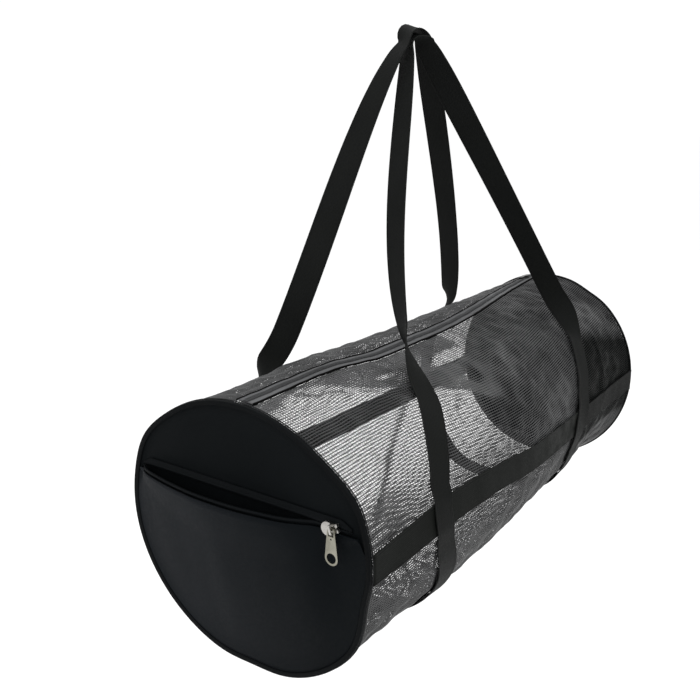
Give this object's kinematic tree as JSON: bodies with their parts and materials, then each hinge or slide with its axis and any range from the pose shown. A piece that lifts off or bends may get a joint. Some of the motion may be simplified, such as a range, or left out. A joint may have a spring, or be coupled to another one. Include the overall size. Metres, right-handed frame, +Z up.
{
  "type": "mesh travel bag",
  "caption": "Long barrel-shaped travel bag of open netting with cloth end panels, a zipped end pocket, a top zip and webbing handles that wrap under the body and meet above it.",
  "frame": {"origin": "the grip, at the underside of the two handles where they meet above the bag, where a hand or a hook takes them", "axes": "+X along the bag from its pocket end to its far end, +Z up, +Y across the bag"},
  "size_m": [0.7614, 0.3203, 0.6679],
  "materials": {
    "net": "open netting",
    "cloth": "plain weave, matt",
    "pocket": "plain weave, slight sheen",
    "webbing": "ribbed webbing",
    "zip": "fine woven tape",
    "coil": "satin",
    "metal": "satin"
  },
  "bodies": {
    "bag": {"net_body": "net", "near_panel": "cloth", "far_panel": "cloth", "near_binding": "webbing", "far_binding": "webbing", "front_band": "webbing", "back_band": "webbing", "top_zip_tape_front": "zip", "top_zip_tape_rear": "zip", "top_zip_coil": "coil", "top_zip_slider": "metal", "front_handle": "webbing", "rear_handle": "webbing", "pocket_panel": "pocket", "pocket_zip_upper": "zip", "pocket_zip_lower": "zip", "pocket_slider": "metal"},
    "pull": {"pocket_pull": "metal"}
  },
  "joints": [
    {"name": "pull_hinge", "type": "hinge", "parent": "bag", "child": "pull", "pos_m": [-0.3611, -0.135, -0.443], "axis": [0, 1, 0], "range_deg": [0, 160]}
  ]
}
